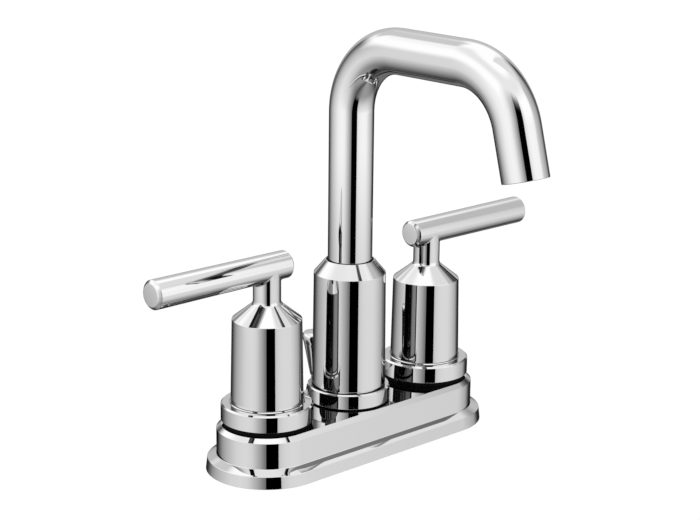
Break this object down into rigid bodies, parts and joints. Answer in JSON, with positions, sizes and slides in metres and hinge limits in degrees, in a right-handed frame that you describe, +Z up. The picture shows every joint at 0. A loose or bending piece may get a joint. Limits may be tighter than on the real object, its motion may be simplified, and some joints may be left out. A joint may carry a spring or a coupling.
{
  "type": "two-handle faucet",
  "caption": "Deck faucet with hot and cold lever handles on one oblong plate, a bent swivel spout with an aerator and a lift rod behind the spout.",
  "frame": {"origin": "on the deck under the spout's axis, midway between the two handle axes", "axes": "+X towards the cold handle, -Y the way the spout reaches, +Z up"},
  "size_m": [0.2314, 0.1454, 0.2],
  "materials": {
    "chrome_plate": "polished chrome plating on zinc or brass",
    "cast_brass": "machined casting, unplated",
    "steel": "plain steel screw",
    "black_rubber": "matt moulded rubber",
    "black_plastic": "moulded plastic",
    "pale_plastic": "moulded acetal",
    "ceramic": "lapped alumina ceramic"
  },
  "bodies": {
    "base_body": {"base_plate": "chrome_plate", "deck_gasket": "black_rubber", "valve_body": "cast_brass", "spout_seal": "black_rubber", "spout_collar": "chrome_plate", "spout_base": "chrome_plate", "spout_bearing": "black_plastic", "thrust_washer": "pale_plastic", "spout_nut": "cast_brass", "lift_guide": "black_plastic", "hot_fixed_disc": "ceramic", "hot_seat_seal": "black_rubber", "hot_cartridge_housing": "black_plastic", "hot_cartridge_nut": "cast_brass", "hot_collar": "chrome_plate", "hot_collar_seal": "black_rubber", "cold_fixed_disc": "ceramic", "cold_seat_seal": "black_rubber", "cold_cartridge_housing": "black_plastic", "cold_cartridge_nut": "cast_brass", "cold_collar": "chrome_plate", "cold_collar_seal": "black_rubber"},
    "hot_lever": {"hot_handle": "chrome_plate", "hot_set_screw": "steel", "hot_stem": "cast_brass", "hot_stem_seal": "black_rubber", "hot_moving_disc": "ceramic"},
    "cold_lever": {"cold_handle": "chrome_plate", "cold_set_screw": "steel", "cold_stem": "cast_brass", "cold_stem_seal": "black_rubber", "cold_moving_disc": "ceramic"},
    "spout_arm": {"spout_tube": "chrome_plate", "spout_spigot": "cast_brass", "spigot_o_ring_lower": "black_rubber", "spigot_o_ring_upper": "black_rubber", "aerator_housing": "pale_plastic", "aerator_screen": "pale_plastic", "aerator_washer": "black_rubber"},
    "lift_pull": {"lift_rod": "chrome_plate", "lift_knob": "chrome_plate"}
  },
  "joints": [
    {"name": "hot_turn", "type": "hinge", "parent": "base_body", "child": "hot_lever", "pos_m": [-0.0508, 0, 0.06], "axis": [0, 0, 1], "range_deg": [0, 90]},
    {"name": "cold_turn", "type": "hinge", "parent": "base_body", "child": "cold_lever", "pos_m": [0.0508, 0, 0.06], "axis": [0, 0, 1], "range_deg": [-90, 0]},
    {"name": "spout_swivel", "type": "hinge", "parent": "base_body", "child": "spout_arm", "pos_m": [0, 0, 0.08], "axis": [0, 0, 1], "range_deg": [-60, 60]},
    {"name": "lift_slide", "type": "slide", "parent": "base_body", "child": "lift_pull", "axis": [0, 0, 1], "range_m": [0, 0.016]}
  ]
}
